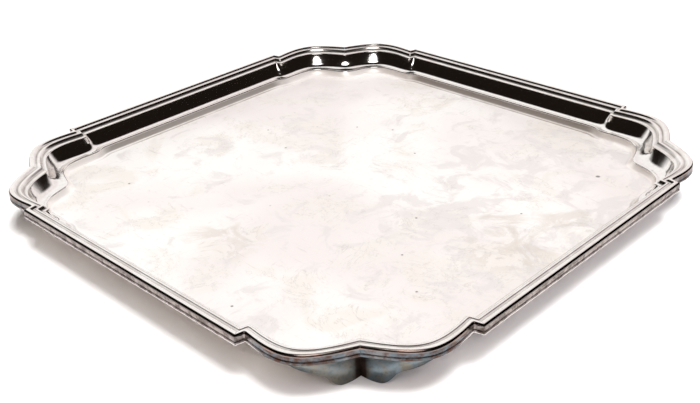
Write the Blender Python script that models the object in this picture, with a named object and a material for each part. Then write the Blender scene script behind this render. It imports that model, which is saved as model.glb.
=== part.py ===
"""Square silver salver: a raised plate, an applied moulded border and four cast bracket feet.

Frame: +Z up, the feet stand on z = 0, the middle of the well is on the Z axis, and the four
straight sides face +X, +Y, -X and -Y. Every ring of the plate, the border and the feet follows
the same outline, which is moved inwards by an inset and keeps its steps and cusps.
"""

import math

import bmesh
import bpy
from mathutils import Vector

OBJECT_NAME = "silver_salver"

# Driving dimensions, in metres.
HALF_WIDTH = 0.1524          # centre to a straight side: 12 inches across
STRAIGHT_HALF = 0.0815       # centre of a side to the end of its straight length
STEP_DEPTH = 0.0058          # how far the outline steps inwards at the end of a straight length
CUSP = 0.1244                # x and y of the cusp, where two lobes meet on the diagonal
LOBE_SHOULDER = (0.1519, 0.1099)   # corner that the lobe's curve is drawn towards

RIM_TOP = 0.0213             # crest of the border above the ground
WELL_DEPTH = 0.0158          # crest of the border down to the well
SKIRT_DEPTH = 0.0050         # crest of the border down to the turned-down edge
SKIRT_INSET = 0.0002
SHEET = 0.0010               # plate thickness
GAP = 0.0003                 # between pieces that touch

# How the rings change as they move inwards from the outline, per metre of inset.
STRAIGHT_SHRINK = 0.56       # the straight length gets shorter
LOBE_START_SHRINK = 0.92     # a lobe's start moves in almost as fast as the side
LOBE_START_CLEARANCE = 0.0002
SHOULDER_SHRINK = 0.75
CUSP_SHRINK = 0.66
CUSP_SHRINK_GROWTH = 18.0    # the cusp opens out faster down the wall
LOBE_PULL = 0.86             # how strongly the lobe's curve is drawn to its shoulder
LOBE_STEPS = 9               # spans along one lobe
CUSP_GAP_SHARE = 0.36        # half of the gap, turned onto the diagonal

# The wall from the well outwards: inset from the outer edge, and depth below the crest.
WALL_PROFILE = [
    (0.0186, WELL_DEPTH),
    (0.0176, 0.0153),
    (0.0166, 0.0141),
    (0.0160, 0.0127),
    (0.0155, 0.0116),
    (0.0149, 0.0111),
    (0.0140, 0.0110),
    (0.0127, 0.0107),
    (0.0115, 0.0100),
    (0.0105, 0.0089),
    (0.0097, 0.0073),
    (0.0092, 0.0055),
    (0.0090, 0.0039),
    (0.0085, 0.0033),
    (0.0012, 0.0033),
    (0.0005, 0.0036),
    (SKIRT_INSET, 0.0042),
]

# The border's moulding, counter-clockwise: inset from the outer edge, and depth below the crest.
BORDER_PROFILE = [
    (0.0082, 0.0030),
    (0.0008, 0.0030),
    (0.0002, 0.0026),
    (0.0002, 0.0010),
    (0.0007, 0.0003),
    (0.0018, 0.0000),
    (0.0030, 0.0001),
    (0.0038, 0.0005),
    (0.0046, 0.0009),
    (0.0055, 0.0004),
    (0.0062, 0.0004),
    (0.0068, 0.0010),
    (0.0073, 0.0020),
    (0.0082, 0.0027),
]

# A foot's wing from the plate down to the ground: inset of its outer face, and height.
FOOT_TOP = 0.0167
FOOT_FACE = [
    (0.0036, FOOT_TOP),
    (0.0054, 0.0140),
    (0.0080, 0.0105),
    (0.0094, 0.0070),
    (0.0094, 0.0035),
    (0.0082, 0.0010),
    (0.0080, 0.0000),
]
FOOT_THICKNESS = 0.0022
FOOT_STEPS = 10              # spans along one wing
FOOT_REACH = 0.74            # how far along the lobe a wing runs, from the cusp
TOE_REACH = 0.19             # share of the wing that stands on the ground
TOE_BULGE = 0.0022           # how far the toe swells outwards beside the fold
TIP_DROP = 0.0012            # height left at the wing's tip
HEEL_REACH = 0.3             # share of the climb that is the rounded heel
HEEL_RISE = 0.3              # share of the height that the heel gains
CLIMB_POWER = 1.3            # how much the rest of the lower edge sags


def ring_straight_half(inset):
    """Half length of the straight side of the ring at this inset."""
    return STRAIGHT_HALF - STRAIGHT_SHRINK * inset


def ring_lobe_start(inset):
    """Where a lobe of the ring begins, beside the +X side."""
    across = HALF_WIDTH - STEP_DEPTH - LOBE_START_SHRINK * inset
    return Vector((across, ring_straight_half(inset) + LOBE_START_CLEARANCE))


def ring_cusp(inset):
    """The ring's cusp, on the diagonal."""
    across = CUSP - CUSP_SHRINK * inset - CUSP_SHRINK_GROWTH * inset * inset
    return Vector((across, across))


def lobe_point(inset, along):
    """A point of a lobe: along is 0 at its start and 1 at the cusp."""
    start = ring_lobe_start(inset)
    end = ring_cusp(inset)
    shoulder = Vector((LOBE_SHOULDER[0] - inset, LOBE_SHOULDER[1] - SHOULDER_SHRINK * inset))
    first = start.lerp(shoulder, LOBE_PULL)
    second = end.lerp(shoulder, LOBE_PULL)
    rest = 1.0 - along
    return (rest ** 3 * start + 3.0 * rest * rest * along * first
            + 3.0 * rest * along * along * second + along ** 3 * end)


def corner_path(inset):
    """From the end of the +X side's straight length, by its return, along the lobe to the cusp."""
    straight_end = Vector((HALF_WIDTH - inset, ring_straight_half(inset)))
    path = [straight_end]
    path.extend(lobe_point(inset, step / LOBE_STEPS) for step in range(LOBE_STEPS + 1))
    return path


def mirrored(path):
    """The same path on the other side of the corner's diagonal, from the cusp on."""
    return [Vector((point.y, point.x)) for point in reversed(path)]


def turned(point, quarter_turns):
    """A plan point turned about the Z axis by whole quarter turns."""
    turned_point = Vector(point)
    for _ in range(quarter_turns % 4):
        turned_point = Vector((-turned_point.y, turned_point.x))
    return turned_point


def whole_ring(inset, depth):
    """The closed ring of 3-D points at this inset and depth below the crest."""
    quarter = corner_path(inset)
    quarter.extend(mirrored(quarter)[1:])
    ring = []
    for turn in range(4):
        for point in quarter:
            plan = turned(point, turn)
            ring.append((plan.x, plan.y, RIM_TOP - depth))
    return ring


def underside(profile, thickness):
    """The profile moved down and outwards by the sheet's thickness."""
    moved = []
    for index, (inset, depth) in enumerate(profile):
        before = Vector(profile[max(index - 1, 0)])
        after = Vector(profile[min(index + 1, len(profile) - 1)])
        along = (after - before).normalized()
        if index == 0:
            moved.append((inset, depth + thickness))
        else:
            moved.append((inset + along.y * thickness, depth - along.x * thickness))
    return moved


def mesh_object(name, vertices, faces, material, collection):
    """A new mesh object, shaded smooth with sharp creases kept."""
    mesh = bpy.data.meshes.new(name)
    mesh.from_pydata(vertices, [], faces)
    mesh.update()
    mesh.shade_smooth()
    mesh.set_sharp_from_angle(angle=math.radians(35.0))
    mesh.materials.append(material)
    piece = bpy.data.objects.new(name, mesh)
    collection.objects.link(piece)
    return piece


def loft(name, sections, material, collection):
    """Join sections of equally many points; the first and last become end caps."""
    count = len(sections[0])
    vertices = [tuple(point) for section in sections for point in section]
    faces = []
    for row in range(len(sections) - 1):
        for column in range(count):
            following = (column + 1) % count
            low = row * count
            high = low + count
            faces.append((low + column, low + following, high + following, high + column))
    faces.append(tuple(reversed(range(count))))
    last = (len(sections) - 1) * count
    faces.append(tuple(range(last, last + count)))
    return mesh_object(name, vertices, faces, material, collection)


def polished_metal(name, color, roughness):
    """A metal of this colour and roughness."""
    material = bpy.data.materials.new(name)
    material.use_nodes = True
    shader = material.node_tree.nodes["Principled BSDF"]
    shader.inputs["Base Color"].default_value = (*color, 1.0)
    shader.inputs["Metallic"].default_value = 1.0
    shader.inputs["Roughness"].default_value = roughness
    return material


def build_tray(collection):
    """The raised plate: rings up the inside, round the turned-down edge, and back below."""
    top = list(WALL_PROFILE)
    below = underside(top, SHEET)
    top.append((SKIRT_INSET, SKIRT_DEPTH))
    below.append((SKIRT_INSET + SHEET, SKIRT_DEPTH))
    rings = [whole_ring(inset, depth) for inset, depth in top]
    rings.extend(whole_ring(inset, depth) for inset, depth in reversed(below))
    material = polished_metal("silver_plate", (0.86, 0.83, 0.81), 0.16)
    return loft("tray_body", rings, material, collection)


def place(plan, depth, quarter_turns):
    """A 3-D point of a border or a foot, turned to its own corner or side."""
    spot = turned(plan, quarter_turns)
    return (spot.x, spot.y, RIM_TOP - depth)


def build_straight_borders(collection):
    """One straight length of moulding for each side, with both ends cut to the mitre."""
    material = polished_metal("silver_border", (0.80, 0.76, 0.73), 0.20)
    for turn, side in enumerate(("right", "back", "left", "front")):
        sections = []
        for sign in (-1.0, 1.0):
            section = []
            for inset, depth in BORDER_PROFILE:
                end = ring_straight_half(inset) - GAP
                section.append(place(Vector((HALF_WIDTH - inset, sign * end)), depth, turn))
            sections.append(section)
        loft("border_" + side, sections, material, collection)


def build_lobe_borders(collection):
    """Two lobed lengths of moulding for each corner, with a joint at the cusp."""
    material = polished_metal("silver_border_lobe", (0.80, 0.76, 0.73), 0.20)
    corners = ("back_right", "back_left", "front_left", "front_right")
    clear = Vector((GAP, -GAP)) * CUSP_GAP_SHARE
    for turn, corner in enumerate(corners):
        stations = []
        paths = [corner_path(inset) for inset, _ in BORDER_PROFILE]
        for step in range(len(paths[0])):
            on_joint = step == len(paths[0]) - 1
            shift = clear if on_joint else Vector((0.0, 0.0))
            stations.append([path[step] + shift for path in paths])
        for half in ("a", "b"):
            sections = []
            for station in stations:
                section = []
                for plan, (_, depth) in zip(station, BORDER_PROFILE):
                    spot = plan if half == "a" else Vector((plan.y, plan.x))
                    section.append(place(spot, depth, turn))
                sections.append(section)
            if half == "b":
                sections.reverse()
            loft("border_lobe_" + corner + "_" + half, sections, material, collection)


def wing_bottom(share):
    """Height of a wing's lower edge: on the ground at the toe, then an ogee up to its tip."""
    if share <= TOE_REACH:
        return 0.0
    climb = (share - TOE_REACH) / (1.0 - TOE_REACH)
    heel = min(climb / HEEL_REACH, 1.0)
    heel_rise = heel * heel * (3.0 - 2.0 * heel)
    rise = HEEL_RISE * heel_rise + (1.0 - HEEL_RISE) * climb ** CLIMB_POWER
    return rise * (FOOT_TOP - TIP_DROP)


def wing_section(share):
    """One upright section of a wing in plan and height; share is 0 at the fold, 1 at the tip."""
    along = 1.0 - share * FOOT_REACH
    bottom = wing_bottom(share)
    squeeze = (FOOT_TOP - bottom) / FOOT_TOP
    top_inset = FOOT_FACE[0][0]
    swell = TOE_BULGE * math.sin(math.pi * min(share / (2.0 * TOE_REACH), 1.0))
    outer = []
    inner = []
    for face_inset, height in FOOT_FACE:
        level = FOOT_TOP - (FOOT_TOP - height) * squeeze
        inset = top_inset + (face_inset - top_inset) * squeeze
        inset -= swell * (1.0 - height / FOOT_TOP)
        outer.append((lobe_point(inset, along), level))
        inner.append((lobe_point(inset + FOOT_THICKNESS, along), level))
    return outer + list(reversed(inner))


def build_feet(collection):
    """One cast foot under each corner: two wings that meet in a fold under the cusp."""
    material = polished_metal("silver_foot", (0.44, 0.46, 0.45), 0.34)
    corners = ("back_right", "back_left", "front_left", "front_right")
    for turn, corner in enumerate(corners):
        right_wing = [wing_section(1.0 - step / FOOT_STEPS) for step in range(FOOT_STEPS + 1)]
        left_wing = []
        for section in reversed(right_wing[:-1]):
            left_wing.append([(Vector((plan.y, plan.x)), level) for plan, level in section])
        sections = []
        for section in right_wing + left_wing:
            points = [(*turned(plan, turn), level) for plan, level in section]
            sections.append(points)
        loft("foot_" + corner, sections, material, collection)


def face_outwards(collection):
    """Turn every closed piece so that its faces point outwards."""
    for piece in collection.objects:
        shell = bmesh.new()
        shell.from_mesh(piece.data)
        bmesh.ops.recalc_face_normals(shell, faces=shell.faces)
        if shell.calc_volume(signed=True) < 0.0:
            bmesh.ops.reverse_faces(shell, faces=shell.faces)
        shell.to_mesh(piece.data)
        shell.free()
        piece.data.update()


def main():
    for old in list(bpy.data.objects):
        bpy.data.objects.remove(old, do_unlink=True)
    collection = bpy.data.collections.new(OBJECT_NAME)
    bpy.context.scene.collection.children.link(collection)
    build_tray(collection)
    build_straight_borders(collection)
    build_lobe_borders(collection)
    build_feet(collection)
    face_outwards(collection)


main()
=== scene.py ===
"""Looks of the square silver salver: fine lofted pieces, worn silver materials, studio and camera.

Every piece follows the same family of plan rings as the CAD solids. A ring is the outline moved
inwards by an inset, and a profile is a list of (inset, depth below the border's crest).
"""

import math

import bpy
import numpy as np
from mathutils import Matrix, Vector


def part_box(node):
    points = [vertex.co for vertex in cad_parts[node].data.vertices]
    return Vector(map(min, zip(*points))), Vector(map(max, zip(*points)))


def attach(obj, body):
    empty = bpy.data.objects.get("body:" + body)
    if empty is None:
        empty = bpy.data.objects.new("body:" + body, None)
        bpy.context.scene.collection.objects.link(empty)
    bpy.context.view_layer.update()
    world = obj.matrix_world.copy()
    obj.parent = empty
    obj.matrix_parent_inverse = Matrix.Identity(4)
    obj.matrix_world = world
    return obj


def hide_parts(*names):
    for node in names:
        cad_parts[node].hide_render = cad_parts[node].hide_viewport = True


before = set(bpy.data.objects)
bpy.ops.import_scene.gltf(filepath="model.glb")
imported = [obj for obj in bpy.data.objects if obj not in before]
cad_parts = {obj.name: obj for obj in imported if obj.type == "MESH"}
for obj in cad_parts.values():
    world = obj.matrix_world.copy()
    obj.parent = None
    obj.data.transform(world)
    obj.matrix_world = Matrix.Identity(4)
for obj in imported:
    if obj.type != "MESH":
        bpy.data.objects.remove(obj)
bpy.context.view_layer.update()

# ---------------------------------------------------------------- driving dimensions, in metres

RIM_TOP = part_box("border_front")[1][2]
HALF_WIDTH = 0.1524          # centre to a straight side
STRAIGHT_HALF = 0.0815       # centre of a side to the end of its straight length
STEP_DEPTH = 0.0046          # inward step of the outline at the end of a straight length
CUSP = 0.1244                # x and y of the outer cusp
LOBE_SHOULDER = (0.1519, 0.1099)   # corner that a lobe's curve is drawn towards
SHEET = 0.0010               # plate thickness
WELL_DEPTH = 0.0158
FLANGE_DEPTH = 0.0033        # top of the plate under the border
SKIRT_BOTTOM = 0.0050        # lower edge of the plate's turned-down rim
FLOOR_Z = RIM_TOP - WELL_DEPTH

# How a plan ring changes as it moves inwards from the outline, per metre of inset.
STRAIGHT_SHRINK = 0.56       # the straight length gets shorter
LOBE_START_SHRINK = 0.92     # a lobe's start moves in almost as fast as the side
LOBE_START_CLEARANCE = 0.0010
SHOULDER_SHRINK = 0.38
CUSP_SHRINK = 0.66
CUSP_SHRINK_GROWTH = 18.0    # the cusp opens out faster down the wall
LOBE_PULL = 0.86             # how strongly a lobe's curve is drawn to its shoulder

CORNERS = ("back_right", "back_left", "front_left", "front_right")
SIDES = ("right", "back", "left", "front")


# ---------------------------------------------------------------- plan rings

def ring_straight_half(inset):
    """Half length of the straight side of the ring at this inset."""
    return STRAIGHT_HALF - STRAIGHT_SHRINK * inset


def lobe_start(inset):
    """Where a lobe of the ring begins, beside the +X side."""
    across = HALF_WIDTH - STEP_DEPTH - LOBE_START_SHRINK * inset
    return np.array((across, ring_straight_half(inset) + LOBE_START_CLEARANCE))


def ring_cusp(inset):
    """The ring's cusp, on the diagonal."""
    across = CUSP - CUSP_SHRINK * inset - CUSP_SHRINK_GROWTH * inset * inset
    return np.array((across, across))


def lobe_points(inset, along):
    """Points of a lobe; along holds values from 0 at its start to 1 at the cusp."""
    start = lobe_start(inset)
    end = ring_cusp(inset)
    shoulder = np.array((LOBE_SHOULDER[0] - inset, LOBE_SHOULDER[1] - SHOULDER_SHRINK * inset))
    first = start + LOBE_PULL * (shoulder - start)
    second = end + LOBE_PULL * (shoulder - end)
    t = np.asarray(along, float)[:, None]
    rest = 1.0 - t
    return (rest ** 3 * start + 3.0 * rest ** 2 * t * first
            + 3.0 * rest * t ** 2 * second + t ** 3 * end)


BORDER_COVER = 0.0082        # inset up to which the border lies on the plate
RIM_SPREAD = 0.35            # rounding of a plate ring's corners under the border, in points
WALL_SPREAD = 1.0            # the same at the top of the wall
WALL_SPREAD_GROWTH = 3.6     # how much it gains down the wall
WALL_SPREAD_DEPTH = 0.0050   # over this depth
BORDER_SPREAD = 0.7          # rounding of the border's returns
LEAD_LENGTH = 0.007          # end part of a straight side, split finely
LEAD = 9                     # spans on that part
RETURN = 8                   # spans on the inward return
LOBE = 60                    # spans on a lobe
STRAIGHT = 24                # spans between the leads of one straight side


def corner_path(inset, lead=True):
    """From the +X side's straight end, by the return and along the lobe, to the cusp."""
    end = np.array((HALF_WIDTH - inset, ring_straight_half(inset)))
    begin = lobe_start(inset)
    parts = []
    if lead:
        before = end - np.array((0.0, LEAD_LENGTH))
        parts.append(before + (end - before) * np.linspace(0, 1, LEAD, endpoint=False)[:, None])
    parts.append(end + (begin - end) * np.linspace(0, 1, RETURN, endpoint=False)[:, None])
    parts.append(lobe_points(inset, np.linspace(0, 1, LOBE + 1)))
    return np.vstack(parts)


def softened(path, spread):
    """The path with its corners rounded by a running average; its two ends stay put."""
    reach = int(math.ceil(3.0 * spread))
    weights = np.exp(-0.5 * (np.arange(-reach, reach + 1) / spread) ** 2)
    weights /= weights.sum()
    head = 2.0 * path[0] - path[reach:0:-1]
    tail = 2.0 * path[-1] - path[-2:-reach - 2:-1]
    padded = np.vstack((head, path, tail))
    smooth = [np.convolve(padded[:, axis], weights, mode="valid") for axis in (0, 1)]
    return np.stack(smooth, axis=1)


def quarter_turned(points, turns):
    """Plan points turned about the Z axis by whole quarter turns."""
    turned = np.array(points, float)
    for _ in range(turns % 4):
        turned = np.stack((-turned[:, 1], turned[:, 0]), axis=1)
    return turned


def whole_ring(inset, spread):
    """The closed plan ring, with corners rounded by the spread."""
    path = corner_path(inset)
    quarter = np.vstack((path, path[-2::-1, ::-1]))
    quarter = softened(quarter, spread)
    ring = []
    for turn in range(4):
        here = quarter_turned(quarter, turn)
        following = quarter_turned(quarter, turn + 1)
        ring.append(here)
        gap = np.linspace(0, 1, STRAIGHT + 1)[1:-1, None]
        ring.append(here[-1] + (following[0] - here[-1]) * gap)
    return np.vstack(ring)


# ---------------------------------------------------------------- profiles

def arc(center, radii, start, end, count):
    """Profile points on an ellipse; an angle of 0 points inwards and 90 upwards."""
    angles = np.radians(np.linspace(start, end, count))
    insets = center[0] + radii[0] * np.cos(angles)
    depths = center[1] - radii[1] * np.sin(angles)
    return list(zip(insets, depths))


def plate_profile():
    """The plate's upper face: well, small cove, ledge, tall cove, flange, turned-down edge."""
    points = [(0.0216, WELL_DEPTH), (0.0206, WELL_DEPTH), (0.0199, WELL_DEPTH)]
    points += [(0.0194, 0.01578), (0.0188, 0.0157), (0.0182, 0.01547), (0.0177, 0.0151)]
    points += [(0.0173, 0.0146), (0.0169, 0.0140), (0.0165, 0.0133)]
    points += arc((0.0155, 0.01222), (0.0006, 0.0006), -15, 80, 8)
    points += [(0.0152, 0.01159)]
    points += arc((0.01537, 0.00719), (0.0044, 0.0044), 262, 208, 22)
    points += [(0.01103, 0.00837), (0.01058, 0.00747), (0.01016, 0.00657)]
    points += [(0.00976, 0.00565), (0.00937, 0.00473)]
    points += arc((0.0085, 0.0039), (0.0005, 0.0006), 12, 90, 7)
    points += [(0.0080, FLANGE_DEPTH), (0.0050, FLANGE_DEPTH), (0.0012, FLANGE_DEPTH)]
    points += [(0.0007, 0.00338), (0.0004, 0.0036), (0.0002, 0.0041)]
    points += [(0.0002, 0.0045), (0.0001, SKIRT_BOTTOM - 0.0001)]
    return points


def underside(profile):
    """The upper profile moved down and outwards by the sheet's thickness."""
    points = np.array(profile)
    along = np.gradient(points, axis=0)
    along /= np.linalg.norm(along, axis=1)[:, None]
    moved = points + SHEET * np.stack((along[:, 1], -along[:, 0]), axis=1)
    moved[0] = points[0] + (0.0, SHEET)
    moved[-1] = (points[-1][0] + SHEET, points[-1][1])
    return [tuple(point) for point in moved]


def border_profile():
    """The moulding's section, going round it: base, outer band, groove, bead, hollow, fillet."""
    points = [(0.0086, FLANGE_DEPTH), (0.0004, FLANGE_DEPTH)]
    points += [(0.0002, 0.0031), (0.0002, 0.0022), (0.0002, 0.0017)]
    points += arc((0.0016, 0.0014), (0.0014, 0.0014), 185, 95, 14)
    points += [(0.0019, 0.00002), (0.0024, 0.00006), (0.0028, 0.0002)]
    points += [(0.0031, 0.00045), (0.0034, 0.0008), (0.0037, 0.0011), (0.0040, 0.00125)]
    points += [(0.0044, 0.0013), (0.0048, 0.00125)]
    points += arc((0.0056, 0.0012), (0.0006, 0.00025), 150, 15, 9)
    points += [(0.0064, 0.0014), (0.0066, 0.0017), (0.0069, 0.0021), (0.0073, 0.0025)]
    points += [(0.0077, 0.00275), (0.0081, 0.00288), (0.0084, 0.0029), (0.0086, 0.0030)]
    return points


PLATE_PROFILE = plate_profile()
BORDER_PROFILE = border_profile()
LIP_REACH = 0.0024           # inset up to which the turned-down rim can be tarnished
CREASE_LINE_INSET = 0.0190          # where the plate is colored darker brown along the crease, at the edge of the well
CREASE_LINE_REACH = 0.0005
COVE_DEPTHS = (0.0118, 0.0129)   # over these depths the wall turns into the small cove
STRAIGHT_BORDER = 30         # spans on a straight length of the border
STRAIGHT_JOINT = 0.00012     # gap left at each end of a straight length
CUSP_JOINT = 0.00003         # gap left by each lobe at the cusp

FOOT_TOP = 0.0171            # height of the foot's upper end, inside the plate's rim
FOOT_FACE = [                # inset of a wing's outer face, and height
    (0.0032, FOOT_TOP),
    (0.0042, 0.0158),
    (0.0062, 0.0130),
    (0.0082, 0.0100),
    (0.0093, 0.0070),
    (0.0094, 0.0038),
    (0.0086, 0.0014),
    (0.0080, 0.0000),
]
FOOT_LEVELS = 22             # heights at which a wing's section has points
WING = 40                    # spans along one wing
FOOT_THICKNESS = 0.0022
TIP_THINNING = 0.55          # share of the thickness that a wing loses towards its tip
FOOT_REACH = 0.74            # how far along the lobe a wing runs, from the cusp
TOE_REACH = 0.165            # share of the wing that stands on the ground
TOE_BULGE = 0.0022           # how far the toe swells outwards beside the fold
TIP_DROP = 0.0012            # height left at the wing's tip
HEEL_REACH = 0.3             # share of the climb that is the rounded heel
HEEL_RISE = 0.3              # share of the height that the heel gains
CLIMB_POWER = 1.3            # how much the rest of the lower edge sags
FOLD_WIDTH = 0.045           # share of the wing that the fold's painted shade fades over


# ---------------------------------------------------------------- mesh building

def mesh_piece(name, vertices, faces, values, sharp_angle):
    """A smooth-shaded mesh object that rides on the tray, with named vertex values."""
    mesh = bpy.data.meshes.new(name)
    mesh.from_pydata([tuple(map(float, v)) for v in vertices], [], faces)
    mesh.update()
    for label, numbers in values.items():
        layer = mesh.attributes.new(label, "FLOAT", "POINT")
        layer.data.foreach_set("value", np.asarray(numbers, np.float32))
    mesh.shade_smooth()
    mesh.set_sharp_from_angle(angle=math.radians(sharp_angle))
    piece = bpy.data.objects.new(name, mesh)
    bpy.context.scene.collection.objects.link(piece)
    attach(piece, "root")
    return piece


def loft_sections(name, sections, values, sharp_angle=40.0):
    """A piece from a row of equal closed sections, with a cap at each end."""
    count = len(sections[0])
    faces = []
    for row in range(len(sections) - 1):
        for column in range(count):
            here = row * count + column
            following = row * count + (column + 1) % count
            faces.append((here, following, following + count, here + count))
    faces.append(tuple(reversed(range(count))))
    last = (len(sections) - 1) * count
    faces.append(tuple(range(last, last + count)))
    return mesh_piece(name, np.vstack(sections), faces, values, sharp_angle)


def corner_spread(inset, depth):
    """How much a ring's corners are rounded: crisp under the border, softer down the wall."""
    if inset < BORDER_COVER:
        return RIM_SPREAD
    share = min(max((depth - FLANGE_DEPTH) / WALL_SPREAD_DEPTH, 0.0), 1.0)
    return WALL_SPREAD + WALL_SPREAD_GROWTH * share


def build_plate():
    """The raised sheet: well, stepped wall, flange, turned-down edge and underside."""
    profile = PLATE_PROFILE + [(0.0004, SKIRT_BOTTOM), (0.0009, SKIRT_BOTTOM)]
    first_below = len(profile)
    profile += reversed(underside(PLATE_PROFILE))
    rings = []
    values = {"skirt": [], "lip": [], "crease": []}
    for index, (inset, depth) in enumerate(profile):
        plan = whole_ring(inset, corner_spread(inset, depth))
        rings.append(np.column_stack((plan, np.full(len(plan), RIM_TOP - depth))))
        upper = index < first_below
        lip = upper and inset < LIP_REACH
        skirt = lip and depth < SKIRT_BOTTOM - 0.0003
        crease = upper and abs(inset - CREASE_LINE_INSET) < CREASE_LINE_REACH
        for label, marked in (("skirt", skirt), ("lip", lip), ("crease", crease)):
            values[label] += [1.0 if marked else 0.0] * len(plan)
    return loft_sections("plate", rings, values)


def outer_values(profile):
    """1 on the upright outer face of the moulding, 0 elsewhere."""
    return [1.0 if inset < 0.0010 and depth > 0.0012 else 0.0 for inset, depth in profile]


def edge_values(profile):
    """1 on the rounded outer edge below the crest, where the dark reflection line is painted."""
    return [1.0 if inset < 0.0011 and 0.0002 < depth < 0.0013 else 0.0
            for inset, depth in profile]


def groove_values(profile):
    """How deep each profile point lies in a groove of the moulding, 0 to 1."""
    values = []
    for inset, depth in profile:
        groove = math.exp(-((inset - 0.0043) / 0.0005) ** 2)
        hollow = math.exp(-((inset - 0.0073) / 0.0005) ** 2)
        values.append(max(groove, 0.9 * hollow))
    return values


def border_values(count):
    """The vertex values of a border piece with this many sections."""
    rules = (("groove", groove_values), ("skirt", outer_values), ("edge", edge_values))
    return {label: rule(BORDER_PROFILE) * count for label, rule in rules}


def build_straight_border(turn, side):
    """A straight length of moulding between its two mitred ends."""
    sections = []
    for share in np.linspace(-1.0, 1.0, STRAIGHT_BORDER + 1):
        plan = []
        for inset, _ in BORDER_PROFILE:
            end = ring_straight_half(inset) - STRAIGHT_JOINT
            plan.append((HALF_WIDTH - inset, share * end))
        plan = quarter_turned(plan, turn)
        depths = np.array([RIM_TOP - depth for _, depth in BORDER_PROFILE])
        sections.append(np.column_stack((plan, depths)))
    piece = loft_sections("rim_" + side, sections, border_values(len(sections)))
    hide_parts("border_" + side)
    return piece


def build_lobe_border(turn, corner, half):
    """One lobed length of moulding, from the mitre at the straight side to the cusp."""
    paths = [softened(corner_path(inset, lead=False), BORDER_SPREAD)
             for inset, _ in BORDER_PROFILE]
    depths = np.array([RIM_TOP - depth for _, depth in BORDER_PROFILE])
    sections = []
    stations = len(paths[0])
    for station in range(stations):
        plan = np.array([path[station] for path in paths])
        if station == stations - 1:
            plan = plan + (CUSP_JOINT, -CUSP_JOINT)
        if half == "b":
            plan = plan[:, ::-1]
        sections.append(np.column_stack((quarter_turned(plan, turn), depths)))
    if half == "b":
        sections.reverse()
    name = corner + "_" + half
    piece = loft_sections("rim_lobe_" + name, sections, border_values(len(sections)))
    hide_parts("border_lobe_" + name)
    return piece


def wing_bottom(share):
    """Height of a wing's lower edge: on the ground at the toe, then an ogee to the tip."""
    if share <= TOE_REACH:
        return 0.0
    climb = (share - TOE_REACH) / (1.0 - TOE_REACH)
    heel = min(climb / HEEL_REACH, 1.0)
    heel_rise = heel * heel * (3.0 - 2.0 * heel)
    rise = HEEL_RISE * heel_rise + (1.0 - HEEL_RISE) * climb ** CLIMB_POWER
    return rise * (FOOT_TOP - TIP_DROP)


def foot_face(levels):
    """Insets of a foot's outer face at these heights, on a smooth curve."""
    heights = np.array([height for _, height in FOOT_FACE])[::-1]
    insets = np.array([inset for inset, _ in FOOT_FACE])[::-1]
    slopes = np.gradient(insets, heights)
    result = []
    for level in levels:
        upper = int(np.clip(np.searchsorted(heights, level), 1, len(heights) - 1))
        low, high = heights[upper - 1], heights[upper]
        t = (level - low) / (high - low)
        step = high - low
        result.append((2 * t ** 3 - 3 * t ** 2 + 1) * insets[upper - 1]
                      + (t ** 3 - 2 * t ** 2 + t) * step * slopes[upper - 1]
                      + (3 * t ** 2 - 2 * t ** 3) * insets[upper]
                      + (t ** 3 - t ** 2) * step * slopes[upper])
    return result


def build_foot(turn, corner):
    """A cast bracket foot: two ogee wings that meet in a fold under the cusp."""
    levels = np.linspace(FOOT_TOP, 0.0, FOOT_LEVELS)
    faces_out = foot_face(levels)
    top_inset = faces_out[0]
    wing = []
    fold = []
    for share in np.linspace(1.0, 0.0, WING + 1):
        along = 1.0 - share * FOOT_REACH
        bottom = wing_bottom(share)
        squeeze = (FOOT_TOP - bottom) / FOOT_TOP
        swell = TOE_BULGE * math.sin(math.pi * min(share / (2.0 * TOE_REACH), 1.0))
        edge = FOOT_THICKNESS * (1.0 - TIP_THINNING * (1.0 - squeeze))
        outer = []
        inner = []
        for level, face in zip(levels, faces_out):
            height = FOOT_TOP - (FOOT_TOP - level) * squeeze
            inset = top_inset + (face - top_inset) * squeeze
            inset -= swell * (1.0 - level / FOOT_TOP)
            plan = lobe_points(inset, [along])[0]
            outer.append((*plan, height))
            plan = lobe_points(inset + edge, [along])[0]
            inner.append((*plan, height))
        wing.append(np.array(outer + inner[::-1]))
        fold.append(math.exp(-(share / FOLD_WIDTH) ** 2))
    other = []
    for section in wing[-2::-1]:
        other.append(np.column_stack((section[:, 1], section[:, 0], section[:, 2])))
    sections = []
    for section in wing + other:
        plan = quarter_turned(section[:, :2], turn)
        sections.append(np.column_stack((plan, section[:, 2])))
    folds = fold + fold[-2::-1]
    values = {"fold": np.repeat(folds, len(wing[0]))}
    piece = loft_sections("bracket_foot_" + corner, sections, values, sharp_angle=55.0)
    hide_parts("foot_" + corner)
    return piece


# ---------------------------------------------------------------- material helpers

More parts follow.
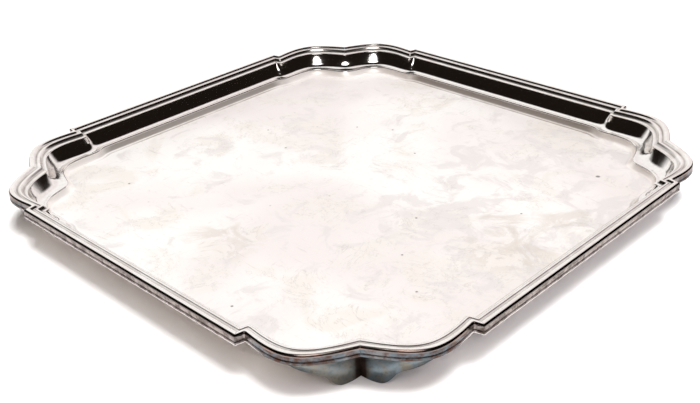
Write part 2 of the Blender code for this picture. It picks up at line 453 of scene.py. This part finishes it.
class Nodes:
    """Short calls for building one material's node tree."""

    def __init__(self, name):
        self.material = bpy.data.materials.new(name)
        self.material.use_nodes = True
        self.tree = self.material.node_tree
        self.shader = self.tree.nodes["Principled BSDF"]
        self.place = self.add("ShaderNodeTexCoord").outputs["Object"]

    def add(self, kind, **settings):
        node = self.tree.nodes.new(kind)
        for key, value in settings.items():
            setattr(node, key, value)
        return node

    def feed(self, socket, value):
        """Link a socket to a node's output, or set it to a plain value."""
        if isinstance(value, bpy.types.NodeSocket):
            self.tree.links.new(value, socket)
        else:
            socket.default_value = value

    def math(self, operation, a, b=0.0, clamp=False):
        node = self.add("ShaderNodeMath", operation=operation, use_clamp=clamp)
        self.feed(node.inputs[0], a)
        self.feed(node.inputs[1], b)
        return node.outputs[0]

    def plus(self, a, b):
        return self.math("ADD", a, b)

    def times(self, a, b):
        return self.math("MULTIPLY", a, b)

    def stretched(self, scale, turn):
        """The object's coordinates, turned about Z by these degrees and scaled by axis."""
        node = self.add("ShaderNodeMapping")
        self.feed(node.inputs["Vector"], self.place)
        node.inputs["Scale"].default_value = scale
        node.inputs["Rotation"].default_value = (0.0, 0.0, math.radians(turn))
        return node.outputs[0]

    def noise(self, scale, detail=3.0, rough=0.5, vector=None, warp=0.0):
        node = self.add("ShaderNodeTexNoise")
        self.feed(node.inputs["Vector"], vector or self.place)
        node.inputs["Scale"].default_value = scale
        node.inputs["Detail"].default_value = detail
        node.inputs["Roughness"].default_value = rough
        node.inputs["Distortion"].default_value = warp
        return node.outputs["Fac"]

    def ramp(self, value, low, high, to_low=0.0, to_high=1.0):
        """A smooth step of the value, from to_low at low to to_high at high."""
        node = self.add("ShaderNodeMapRange", interpolation_type="SMOOTHSTEP")
        self.feed(node.inputs["Value"], value)
        self.feed(node.inputs["From Min"], low)
        self.feed(node.inputs["From Max"], high)
        self.feed(node.inputs["To Min"], to_low)
        self.feed(node.inputs["To Max"], to_high)
        return node.outputs[0]

    def mix(self, factor, a, b):
        node = self.add("ShaderNodeMix", data_type="RGBA")
        self.feed(node.inputs["Factor"], factor)
        for socket, value in ((node.inputs[6], a), (node.inputs[7], b)):
            self.feed(socket, (*value, 1.0) if isinstance(value, tuple) else value)
        return node.outputs[2]

    def value(self, label):
        """A vertex value that the mesh carries."""
        return self.add("ShaderNodeAttribute", attribute_name=label).outputs["Fac"]

    def axis(self, name):
        """One coordinate of the object, in metres."""
        split = self.add("ShaderNodeSeparateXYZ")
        self.feed(split.inputs[0], self.place)
        return split.outputs[name]

    def corner(self, low, high):
        """0 along the sides, 1 at the corners, by the sum of the plan distances."""
        across = self.math("ABSOLUTE", self.axis("X"))
        along = self.math("ABSOLUTE", self.axis("Y"))
        return self.ramp(self.plus(across, along), low, high)

    def spot(self, center, radius):
        """1 at a point of the well, in shares of the half width, falling to 0 at the radius."""
        near = self.add("ShaderNodeVectorMath", operation="DISTANCE")
        self.feed(near.inputs[0], self.place)
        x, y = center
        near.inputs[1].default_value = (x * HALF_WIDTH, y * HALF_WIDTH, FLOOR_Z)
        return self.ramp(near.outputs["Value"], radius, 0.45 * radius)

    def bump(self, height, strength, distance, normal=None):
        node = self.add("ShaderNodeBump")
        node.inputs["Strength"].default_value = strength
        node.inputs["Distance"].default_value = distance
        self.feed(node.inputs["Height"], height)
        if normal is not None:
            self.feed(node.inputs["Normal"], normal)
        return node.outputs[0]


def tarnish(n):
    """Mottled gray and brown of the outer faces, bluer towards the corners."""
    pale_gray, dark_gray = (0.33, 0.285, 0.265), (0.11, 0.085, 0.075)
    slate_blue, dark_brown = (0.125, 0.150, 0.168), (0.085, 0.046, 0.034)
    mottle = n.noise(260.0, 5.0, 0.7, warp=0.4)
    patch = n.noise(90.0, 3.0, 0.55, warp=0.6)
    gray = n.mix(n.ramp(mottle, 0.40, 0.62), pale_gray, dark_gray)
    blue = n.mix(n.ramp(mottle, 0.38, 0.62), slate_blue, dark_brown)
    return n.mix(n.times(n.corner(0.228, 0.242), n.ramp(patch, 0.30, 0.50, 0.5, 1.0)), gray, blue)


# Places in the well as shares of the half width, and radii in metres.
PITS = [
    ((0.67, 0.58), 0.0016),
    ((0.86, -0.65), 0.0019),
    ((0.04, 0.31), 0.0008),
    ((-0.38, 0.03), 0.0009),
    ((0.37, -0.07), 0.0009),
    ((0.49, -0.28), 0.0008),
    ((0.62, 0.18), 0.0008),
    ((0.88, 0.035), 0.0008),
    ((-0.30, 0.35), 0.0008),
    ((-0.17, 0.42), 0.0008),
    ((-0.56, 0.10), 0.0008),
    ((0.66, -0.41), 0.0008),
    ((0.30, -0.82), 0.0009),
    ((-0.60, -0.55), 0.0009),
]
STAINS = [
    ((-0.02, -0.60), 0.026),
    ((0.72, -0.02), 0.030),
    ((0.60, 0.10), 0.018),
    ((0.78, 0.22), 0.024),
]
DULL_PATCH = ((0.75, 0.35), 0.12)


def well_color(n, cloud, drift, streak_a, streak_b):
    """Worn well: rosy, cream and gray patches, streaks, fine dark threads and stains."""
    bright, rosy = (0.685, 0.666, 0.645), (0.612, 0.574, 0.558)
    cream, gray = (0.600, 0.568, 0.524), (0.535, 0.508, 0.498)
    streaked, threaded, stained = (0.42, 0.385, 0.37), (0.36, 0.32, 0.30), (0.42, 0.37, 0.315)
    color = n.mix(n.ramp(drift, 0.40, 0.62), bright, rosy)
    color = n.mix(n.times(n.ramp(cloud, 0.50, 0.64), 0.7), color, cream)

    haze = n.noise(48.0, 5.0, 0.65, warp=0.8)
    haze = n.plus(haze, n.times(n.spot(*DULL_PATCH), 0.10))
    color = n.mix(n.times(n.ramp(haze, 0.53, 0.66), 0.7), color, gray)

    streaks = n.math("MAXIMUM", n.ramp(streak_a, 0.60, 0.72), n.ramp(streak_b, 0.60, 0.74))
    color = n.mix(n.times(streaks, 0.40), color, streaked)

    vein = n.noise(34.0, 6.0, 0.68, warp=2.2)
    thread = n.ramp(n.math("ABSOLUTE", n.math("SUBTRACT", vein, 0.5)), 0.012, 0.002)
    thread = n.times(thread, n.ramp(cloud, 0.46, 0.58))
    color = n.mix(n.times(thread, 0.45), color, threaded)

    stain = 0.0
    for center, radius in STAINS:
        stain = n.math("MAXIMUM", stain, n.spot(center, radius))
    stain = n.times(stain, n.ramp(vein, 0.44, 0.60))
    return n.mix(n.times(stain, 0.45), color, stained)


def pit_mask(n, drift):
    """Fine pits in some areas, and the larger ones at their own places."""
    speck = n.add("ShaderNodeTexVoronoi")
    n.feed(speck.inputs["Vector"], n.place)
    speck.inputs["Scale"].default_value = 70.0
    fine = n.ramp(speck.outputs["Distance"], 0.055, 0.020)
    pits = n.times(n.times(fine, n.ramp(drift, 0.50, 0.58)), 0.45)
    for center, radius in PITS:
        pits = n.math("MAXIMUM", pits, n.spot(center, radius))
    return pits


def silver_plate():
    """Worn plate: satin streaked well with pits, brighter wall with painted shade on its small
    cove, darker brown line along the crease at the well's edge, tarnished rim.
    """
    n = Nodes("worn_silver_plate")
    pale, rosy = (0.90, 0.865, 0.835), (0.84, 0.80, 0.77)
    painted_shade_cove, painted_light_cove = (0.36, 0.325, 0.295), (0.86, 0.81, 0.77)
    pit_black, crease_brown = (0.10, 0.09, 0.085), (0.16, 0.13, 0.11)
    z = n.axis("Z")
    well = n.ramp(z, FLOOR_Z + 0.0009, FLOOR_Z + 0.0002)
    cove = n.ramp(z, *(RIM_TOP - depth for depth in COVE_DEPTHS))
    corner = n.corner(0.200, 0.212)
    cloud = n.noise(26.0, 5.0, 0.62, warp=0.6)
    drift = n.noise(9.0, 3.0, 0.5)
    streak_a = n.noise(75.0, 4.0, 0.65, n.stretched((1.0, 7.0, 1.0), 48.0), warp=0.8)
    streak_b = n.noise(75.0, 4.0, 0.65, n.stretched((8.0, 1.0, 1.0), 20.0), warp=0.8)

    pits = n.times(pit_mask(n, drift), well)
    floor = well_color(n, cloud, drift, streak_a, streak_b)
    floor = n.mix(n.times(pits, 0.85), floor, pit_black)
    grain = n.noise(420.0, 4.0, 0.7)
    wall = n.mix(n.ramp(grain, 0.35, 0.75), pale, rosy)
    # Painted shade: the small cove at the foot of the wall is painted dark gray along the sides
    # for the darker reflection it shows there, and pale at the corners where it would fall into
    # shade.
    wall = n.mix(cove, wall, n.mix(corner, painted_shade_cove, painted_light_cove))
    color = n.mix(well, wall, floor)

    # A mottled darker brown line along the crease at the well's edge, left out at the corners.
    crease_line = n.times(n.value("crease"), n.ramp(cloud, 0.30, 0.60, 0.2, 0.7))
    crease_line = n.times(crease_line, n.math("SUBTRACT", 1.0, corner))
    color = n.mix(crease_line, color, crease_brown)
    lip = n.times(n.value("lip"), n.corner(0.234, 0.244))
    color = n.mix(n.math("MAXIMUM", n.value("skirt"), lip), color, tarnish(n))
    n.feed(n.shader.inputs["Base Color"], color)

    metallic = n.math("SUBTRACT", n.ramp(cove, 0.0, 1.0, 1.0, 0.45), n.times(well, 0.25))
    n.feed(n.shader.inputs["Metallic"], metallic)
    rough = n.plus(n.ramp(cove, 0.0, 1.0, 0.07, 0.34), n.times(cloud, 0.08))
    rough = n.math("ADD", rough, n.times(n.value("skirt"), 0.25), clamp=True)
    n.feed(n.shader.inputs["Roughness"], rough)
    dents = n.bump(n.noise(55.0, 2.0, 0.5), 0.35, 0.0006)
    n.feed(n.shader.inputs["Normal"], n.bump(n.plus(streak_a, streak_b), 0.12, 0.0002, dents))
    return n.material


def silver_border():
    """The applied moulding: bright on its crests, brown to black in its grooves, with a painted
    dark reflection line on its rounded outer edge.
    """
    n = Nodes("moulded_silver")
    pale, rosy, worn = (0.91, 0.87, 0.84), (0.84, 0.785, 0.75), (0.55, 0.47, 0.42)
    painted_reflection_black, red_brown = (0.05, 0.03, 0.024), (0.20, 0.11, 0.08)
    groove_brown = (0.13, 0.09, 0.065)
    cloud = n.noise(80.0, 4.0, 0.6, warp=0.4)
    fine = n.noise(900.0, 3.0, 0.6)
    color = n.mix(n.ramp(cloud, 0.38, 0.68), pale, rosy)
    color = n.mix(n.times(n.ramp(fine, 0.55, 0.80), 0.35), color, worn)

    dirt = n.times(n.corner(0.232, 0.248), n.ramp(cloud, 0.30, 0.60, 0.35, 0.80))
    dirt = n.math("MAXIMUM", dirt, n.ramp(cloud, 0.25, 0.55, 0.10, 0.35))
    color = n.mix(n.times(n.value("groove"), dirt), color, groove_brown)
    color = n.mix(n.value("skirt"), color, tarnish(n))
    # Painted reflection: the rounded outer edge is painted near black for the dark line the room
    # makes in it, mottled with red-brown tarnish towards the corners.
    edge = n.mix(n.ramp(cloud, 0.42, 0.60), painted_reflection_black, red_brown)
    edge = n.mix(n.corner(0.232, 0.246), painted_reflection_black, edge)
    color = n.mix(n.times(n.value("edge"), 0.9), color, edge)
    n.feed(n.shader.inputs["Base Color"], color)

    n.shader.inputs["Metallic"].default_value = 1.0
    rough = n.plus(n.times(n.value("groove"), 0.20), 0.13)
    rough = n.plus(rough, n.times(n.value("skirt"), 0.15))
    n.feed(n.shader.inputs["Roughness"], n.plus(rough, n.times(cloud, 0.07)))
    n.feed(n.shader.inputs["Normal"], n.bump(n.noise(140.0, 3.0, 0.5), 0.25, 0.0003))
    return n.material


def tarnished_silver():
    """Cast feet: blue-gray and brown tarnish, with painted shade darkest in the fold."""
    n = Nodes("tarnished_silver")
    blue_gray, brown_gray = (0.17, 0.215, 0.24), (0.25, 0.235, 0.20)
    dark_gray, fold_painted_shade = (0.10, 0.10, 0.085), (0.055, 0.035, 0.028)
    cloud = n.noise(95.0, 5.0, 0.62, warp=0.9)
    fine = n.noise(520.0, 4.0, 0.65)
    color = n.mix(n.ramp(cloud, 0.38, 0.60), blue_gray, brown_gray)
    color = n.mix(n.times(n.ramp(fine, 0.48, 0.70), 0.5), color, dark_gray)
    # Painted shade: the re-entrant fold between the two wings is painted dark brown.
    color = n.mix(n.ramp(n.value("fold"), 0.0, 0.6), color, fold_painted_shade)
    n.feed(n.shader.inputs["Base Color"], color)
    n.shader.inputs["Metallic"].default_value = 0.85
    n.feed(n.shader.inputs["Roughness"], n.ramp(cloud, 0.3, 0.7, 0.30, 0.50))
    n.feed(n.shader.inputs["Normal"], n.bump(fine, 0.3, 0.0002))
    return n.material


# ---------------------------------------------------------------- pieces

def build_object():
    """The 17 visible pieces, one for each CAD solid, with their materials and slots."""
    plate_metal = silver_plate()
    border_metal = silver_border()
    foot_metal = tarnished_silver()
    plate = build_plate()
    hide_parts("tray_body")
    plate.data.materials.append(plate_metal)
    borders = [build_straight_border(turn, side) for turn, side in enumerate(SIDES)]
    for turn, corner in enumerate(CORNERS):
        borders += [build_lobe_border(turn, corner, half) for half in ("a", "b")]
    for piece in borders:
        piece.data.materials.append(border_metal)
    for turn, corner in enumerate(CORNERS):
        foot = build_foot(turn, corner)
        foot.data.materials.append(foot_metal)


# ---------------------------------------------------------------- camera, floor and light

AZIMUTH = math.radians(44.79)
ELEVATION = math.radians(28.23)
ROLL = math.radians(-2.28)
TARGET = Vector((0.254 * HALF_WIDTH, -0.266 * HALF_WIDTH, RIM_TOP))
DISTANCE = 3.216 * HALF_WIDTH
SENSOR = 36.0                # millimetres
LENS = 50.74
FLOOR_HALF = 6.0             # metres
LIGHT_DISTANCE = 1.6


def horizontal(degrees_right):
    """A level direction, measured to the right from straight ahead of the camera."""
    angle = AZIMUTH - math.radians(degrees_right)
    return Vector((-math.sin(angle), math.cos(angle), 0.0))


def build_camera():
    """The viewing angle: above the front right corner, looking at the diagonal."""
    away = Vector((math.sin(AZIMUTH) * math.cos(ELEVATION),
                   -math.cos(AZIMUTH) * math.cos(ELEVATION), math.sin(ELEVATION)))
    level = Vector((math.cos(AZIMUTH), math.sin(AZIMUTH), 0.0))
    upright = away.cross(level)
    right = math.cos(ROLL) * level + math.sin(ROLL) * upright
    up = -math.sin(ROLL) * level + math.cos(ROLL) * upright
    data = bpy.data.cameras.new("camera")
    data.lens = LENS
    data.sensor_width = SENSOR
    data.clip_start = 0.01
    camera = bpy.data.objects.new("camera", data)
    turn = Matrix((right, up, away)).transposed().to_4x4()
    camera.matrix_world = Matrix.Translation(TARGET + away * DISTANCE) @ turn
    bpy.context.scene.collection.objects.link(camera)
    bpy.context.scene.camera = camera


def build_floor():
    """A large pale floor."""
    half = FLOOR_HALF
    mesh = bpy.data.meshes.new("floor")
    corners = [(-half, -half, 0.0), (half, -half, 0.0), (half, half, 0.0), (-half, half, 0.0)]
    mesh.from_pydata(corners, [], [(0, 1, 2, 3)])
    floor = bpy.data.objects.new("floor", mesh)
    bpy.context.scene.collection.objects.link(floor)
    paper = bpy.data.materials.new("white_paper")
    paper.use_nodes = True
    shader = paper.node_tree.nodes["Principled BSDF"]
    shader.inputs["Base Color"].default_value = (0.92, 0.92, 0.92, 1.0)
    shader.inputs["Roughness"].default_value = 1.0
    shader.inputs["Specular IOR Level"].default_value = 0.0
    mesh.materials.append(paper)


def soft_light(name, kind, direction, elevation, power, color, size):
    """A soft box (size in metres, seen in the metal) or a wide sun (size in degrees, unseen)."""
    lift = math.radians(elevation)
    spot = direction * math.cos(lift) * LIGHT_DISTANCE
    spot.z = math.sin(lift) * LIGHT_DISTANCE
    data = bpy.data.lights.new(name, kind)
    data.energy = power
    data.color = color
    light = bpy.data.objects.new(name, data)
    light.location = spot
    light.rotation_euler = (-spot).to_track_quat("-Z", "Y").to_euler()
    if kind == "AREA":
        data.shape = "ELLIPSE"
        data.size = size
        data.size_y = 1.3 * size
    else:
        data.angle = math.radians(size)
        light.visible_glossy = False
    bpy.context.scene.collection.objects.link(light)


def build_world():
    """What lies around: a white sweep beyond the object, in a dark room, in reflections;
    a faint warm dome for the shading; plain white to the camera.
    """
    world = bpy.data.worlds.new("studio")
    bpy.context.scene.world = world
    world.use_nodes = True
    tree = world.node_tree
    tree.nodes.clear()
    place = tree.nodes.new("ShaderNodeTexCoord").outputs["Generated"]

    def vector(operation, source, other=None):
        """A vector operation on a source and, where it takes one, a fixed vector."""
        node = tree.nodes.new("ShaderNodeVectorMath")
        node.operation = operation
        tree.links.new(source, node.inputs[0])
        if other is not None:
            node.inputs[1].default_value = other
        return node

    def toward(source, direction, low, high):
        """0 where a ray's cosine to the direction is low, 1 where it is high."""
        dot = vector("DOT_PRODUCT", source, direction)
        step = tree.nodes.new("ShaderNodeMapRange")
        step.interpolation_type = "SMOOTHSTEP"
        step.inputs["From Min"].default_value = low
        step.inputs["From Max"].default_value = high
        tree.links.new(dot.outputs["Value"], step.inputs["Value"])
        return step.outputs[0]

    def blend(factor, under, over):
        """A mix of two tones, each a color or an earlier blend."""
        mix = tree.nodes.new("ShaderNodeMix")
        mix.data_type = "RGBA"
        tree.links.new(factor, mix.inputs["Factor"])
        for socket, tone in ((mix.inputs[6], under), (mix.inputs[7], over)):
            if isinstance(tone, bpy.types.NodeSocket):
                tree.links.new(tone, socket)
            else:
                socket.default_value = (*tone, 1.0)
        return mix.outputs[2]

    def background(color, strength=1.0):
        """A background shader; its color is plain or an earlier blend."""
        node = tree.nodes.new("ShaderNodeBackground")
        if isinstance(color, bpy.types.NodeSocket):
            tree.links.new(color, node.inputs["Color"])
        else:
            node.inputs["Color"].default_value = (*color, 1.0)
        node.inputs["Strength"].default_value = strength
        return node.outputs[0]

    def choose(factor, under, over):
        """One shader or the other, by the kind of ray."""
        mix = tree.nodes.new("ShaderNodeMixShader")
        for socket, source in zip(mix.inputs, (factor, under, over)):
            tree.links.new(source, socket)
        return mix.outputs[0]

    level = vector("NORMALIZE", vector("MULTIPLY", place, (1.0, 1.0, 0.0)).outputs["Vector"])
    level = level.outputs["Vector"]
    room = (0.011, 0.0078, 0.0058)
    left_tone, right_tone = (1.06, 1.055, 1.05), (0.98, 0.93, 0.93)
    sweep = blend(toward(level, horizontal(90.0), 0.02, 0.36), left_tone, right_tone)
    sweep = blend(toward(place, (0.0, 0.0, 1.0), 0.90, 0.97), sweep, room)
    mirrored = blend(toward(level, horizontal(0.0), 0.50, 0.76), room, sweep)
    rays = tree.nodes.new("ShaderNodeLightPath").outputs
    lit = choose(rays["Is Glossy Ray"], background((1.0, 0.93, 0.91), 0.10), background(mirrored))
    seen = choose(rays["Is Camera Ray"], lit, background((1.0, 1.0, 1.0), 1.05))
    out = tree.nodes.new("ShaderNodeOutputWorld")
    tree.links.new(seen, out.inputs["Surface"])


build_object()
build_camera()
build_floor()
build_world()
soft_light("soft_box", "AREA", horizontal(180.0), 57.0, 8.0, (1.0, 0.99, 0.97), 0.90)
soft_light("key", "SUN", horizontal(100.0), 78.0, 4.05, (1.0, 1.0, 1.0), 28.0)
soft_light("fill_left", "SUN", horizontal(-120.0), 35.0, 0.34, (1.0, 0.62, 0.42), 40.0)
soft_light("fill_right", "SUN", horizontal(120.0), 35.0, 0.50, (0.97, 0.85, 1.0), 40.0)
bpy.context.scene.view_settings.view_transform = "Standard"
